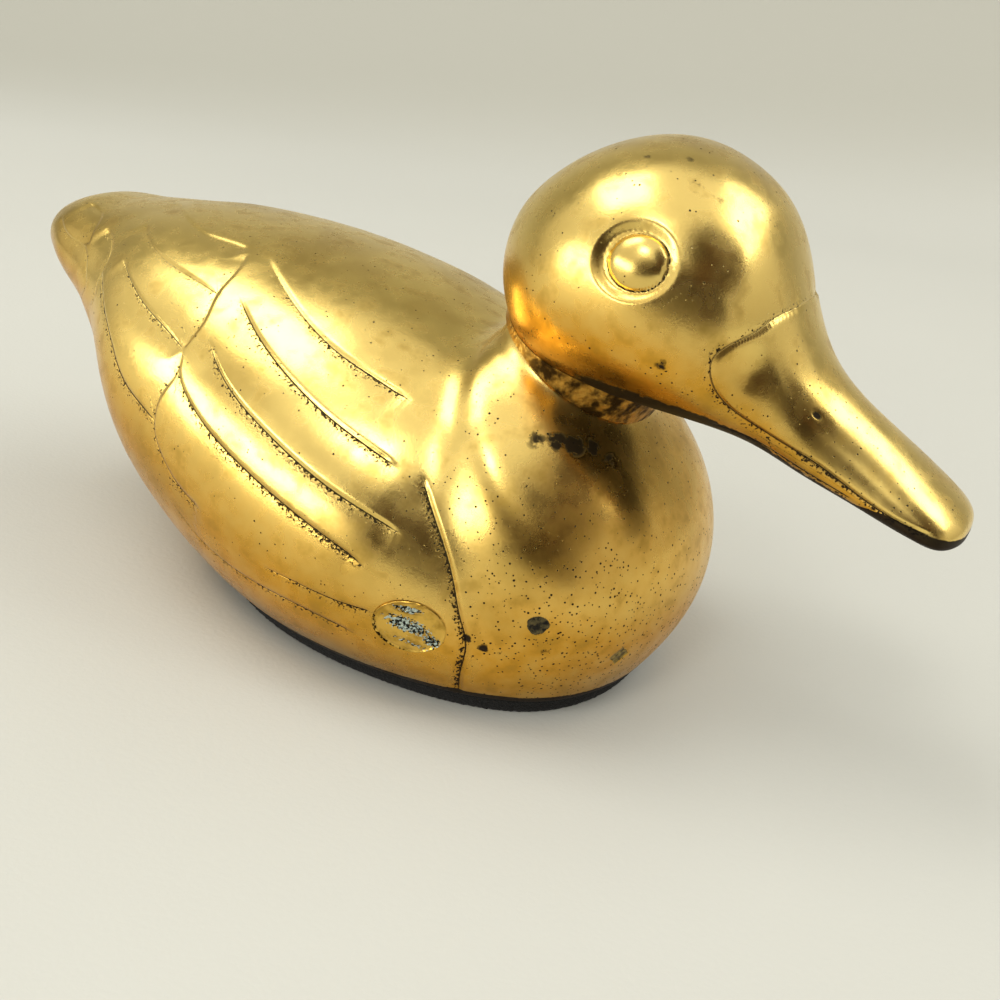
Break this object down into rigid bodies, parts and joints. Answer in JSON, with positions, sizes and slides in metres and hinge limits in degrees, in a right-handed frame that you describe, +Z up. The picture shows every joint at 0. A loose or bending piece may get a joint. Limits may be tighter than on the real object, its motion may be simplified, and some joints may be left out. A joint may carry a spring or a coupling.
{
  "type": "duck ornament",
  "caption": "Hollow cast brass duck with a round head and drooping bill on a crook neck, standing on a felt pad, for a shelf or desk.",
  "frame": {"origin": "on the floor, in the middle of the length and width", "axes": "+X towards the bill, +Y towards the duck's left, +Z up"},
  "size_m": [0.165, 0.0782, 0.0861],
  "materials": {
    "body_brass": "polished sand-cast brass with dark recesses",
    "head_brass": "polished sand-cast brass with tarnish spots",
    "braze": "dull heat-stained brazing metal",
    "pin_metal": "dark core pins polished flush",
    "solder": "rough grey-green solder",
    "sheet_brass": "plain rolled sheet",
    "felt": "black wool felt"
  },
  "bodies": {
    "root": {"body_casting": "body_brass", "head_casting": "head_brass", "neck_braze": "braze", "core_pins": "pin_metal", "solder_patch": "solder", "base_plate": "sheet_brass", "base_solder": "solder", "felt_pad": "felt"}
  },
  "joints": []
}
